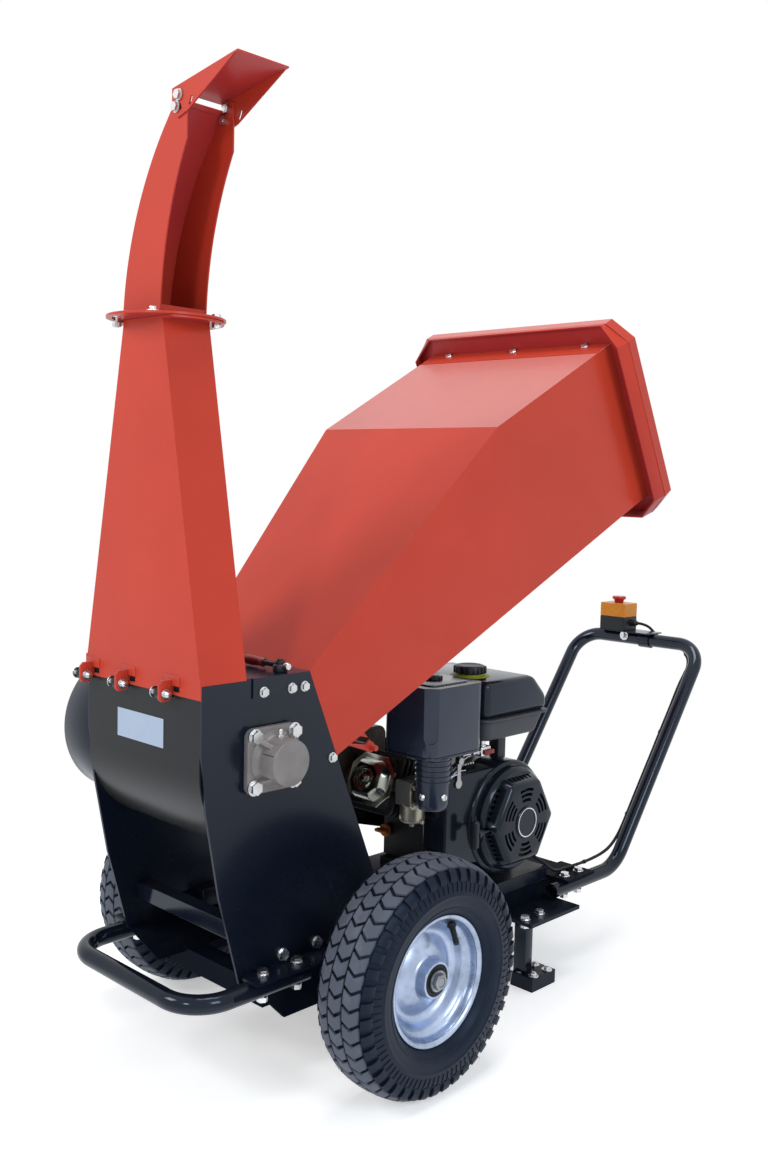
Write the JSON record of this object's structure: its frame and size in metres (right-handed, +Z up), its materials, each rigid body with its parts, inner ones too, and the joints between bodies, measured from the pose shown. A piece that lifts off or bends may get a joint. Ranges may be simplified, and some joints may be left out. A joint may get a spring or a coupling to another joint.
{
  "type": "garden shredder",
  "caption": "Two-wheeled petrol garden shredder with drum housing, tilting outlet tower, turning chute, feed hopper, belt drive and push handle.",
  "frame": {"origin": "point on the ground in the middle plane, straight below the wheel axle", "axes": "+X to the right wheel (bearing cap side), +Y to the engine and push handle, +Z up"},
  "size_m": [0.756, 1.5952, 1.6424],
  "materials": {
    "frame_paint": "gloss black paint",
    "red_paint": "gloss red paint",
    "zinc": "bright zinc",
    "cast": "painted casting",
    "shell_paint": "satin dark grey paint",
    "nameplate": "bare plate",
    "rubber": "matte",
    "tyre": "matte",
    "rim_silver": "silver paint",
    "engine_black": "satin black",
    "engine_alloy": "cast",
    "chrome": "polished",
    "black_plastic": "satin",
    "orange_plastic": "satin",
    "red_plastic": "gloss",
    "muffler_steel": "heat stained"
  },
  "bodies": {
    "frame": {"chassis": "frame_paint", "front_bumper": "frame_paint", "leg_left": "frame_paint", "leg_right": "frame_paint", "engine_deck": "frame_paint", "push_handle": "frame_paint", "estop_bracket": "frame_paint", "side_plate_left": "frame_paint", "side_plate_right": "frame_paint", "cross_bar": "frame_paint", "top_cover": "frame_paint", "belt_guard": "frame_paint", "hopper_body": "red_paint", "hopper_lip": "red_paint", "hopper_stay": "red_paint", "axle": "zinc", "axle_nuts": "zinc", "counter_knife": "zinc", "bolts_m12": "zinc", "bolts_m10": "zinc", "bolts_m8": "zinc", "hinge_bolts": "zinc", "bearing_left": "cast", "bearing_right": "cast", "drum_shell": "shell_paint", "nameplate": "nameplate", "drive_belts": "rubber", "estop_cable": "rubber", "fan_shroud": "engine_black", "recoil_cover": "engine_black", "fuel_tank": "engine_black", "engine_block": "engine_alloy", "cylinder_head": "engine_alloy", "carburetor": "engine_alloy", "valve_cover": "chrome", "estop_base": "black_plastic", "air_cleaner": "black_plastic", "estop_lid": "orange_plastic", "muffler": "muffler_steel"},
    "wheel_left": {"tyre_left": "tyre", "rim_left": "rim_silver"},
    "wheel_right": {"tyre_right": "tyre", "rim_right": "rim_silver"},
    "rotor": {"rotor_drum": "cast", "rotor_knives": "zinc", "rotor_pulley": "cast"},
    "crank": {"crank_pulley": "cast"},
    "tower": {"tower": "red_paint", "swivel_bolts": "zinc"},
    "outlet": {"chute": "red_paint", "chute_bolts": "zinc"},
    "hood": {"deflector": "red_paint"},
    "latch": {"latch_lever": "red_plastic"},
    "stop_button": {"estop_button": "red_plastic"},
    "starter_grip": {"recoil_grip": "black_plastic"},
    "tank_cap": {"fuel_cap": "black_plastic"},
    "dipstick": {"dipstick": "orange_plastic"},
    "throttle": {"throttle_lever": "zinc"},
    "curtain": {"hopper_curtain": "rubber"}
  },
  "joints": [
    {"name": "wheel_left_spin", "type": "hinge", "parent": "frame", "child": "wheel_left", "pos_m": [-0.319, 0, 0.203], "axis": [1, 0, 0], "continuous": true},
    {"name": "wheel_right_spin", "type": "hinge", "parent": "frame", "child": "wheel_right", "pos_m": [0.319, 0, 0.203], "axis": [1, 0, 0], "continuous": true},
    {"name": "rotor_spin", "type": "hinge", "parent": "frame", "child": "rotor", "pos_m": [0, -0.209, 0.579], "axis": [1, 0, 0], "continuous": true},
    {"name": "crank_spin", "type": "hinge", "parent": "frame", "child": "crank", "pos_m": [-0.2, 0.45, 0.348], "axis": [1, 0, 0], "continuous": true},
    {"name": "tower_tilt", "type": "hinge", "parent": "frame", "child": "tower", "pos_m": [0, -0.362, 0.69], "axis": [1, 0, 0], "range_deg": [0, 85]},
    {"name": "chute_swivel", "type": "hinge", "parent": "tower", "child": "outlet", "pos_m": [0, -0.3038, 1.284], "axis": [0, 0, 1], "range_deg": [-50, 50]},
    {"name": "deflector_tilt", "type": "hinge", "parent": "outlet", "child": "hood", "pos_m": [0.097, -0.3038, 1.6064], "axis": [0, 1, 0], "range_deg": [-20, 20]},
    {"name": "latch_turn", "type": "hinge", "parent": "frame", "child": "latch", "pos_m": [0.138, -0.168, 0.722], "axis": [0, 0, 1], "range_deg": [0, 45]},
    {"name": "estop_press", "type": "slide", "parent": "frame", "child": "stop_button", "axis": [0, 0, -1], "range_m": [0, 0.005], "stiffness_N_per_m": 800},
    {"name": "recoil_pull", "type": "slide", "parent": "frame", "child": "starter_grip", "axis": [0, -1, 0], "range_m": [0, 0.12], "stiffness_N_per_m": 60},
    {"name": "fuel_cap_turn", "type": "hinge", "parent": "frame", "child": "tank_cap", "pos_m": [0.079, 0.393, 0.655], "axis": [0, 0, 1], "range_deg": [0, 120]},
    {"name": "dipstick_turn", "type": "hinge", "parent": "frame", "child": "dipstick", "pos_m": [-0.091, 0.33, 0.29], "axis": [0, -1, 0], "range_deg": [0, 270]},
    {"name": "throttle_turn", "type": "hinge", "parent": "frame", "child": "throttle", "pos_m": [0.14, 0.292, 0.444], "axis": [1, 0, 0], "range_deg": [-30, 30]},
    {"name": "curtain_swing", "type": "hinge", "parent": "frame", "child": "curtain", "pos_m": [0, 0.58353, 1.30092], "axis": [1, 0, 0], "range_deg": [-45, 40]}
  ],
  "couplings": [
    {"joint": "crank_spin", "follows": "rotor_spin", "ratio": 2.3333}
  ]
}
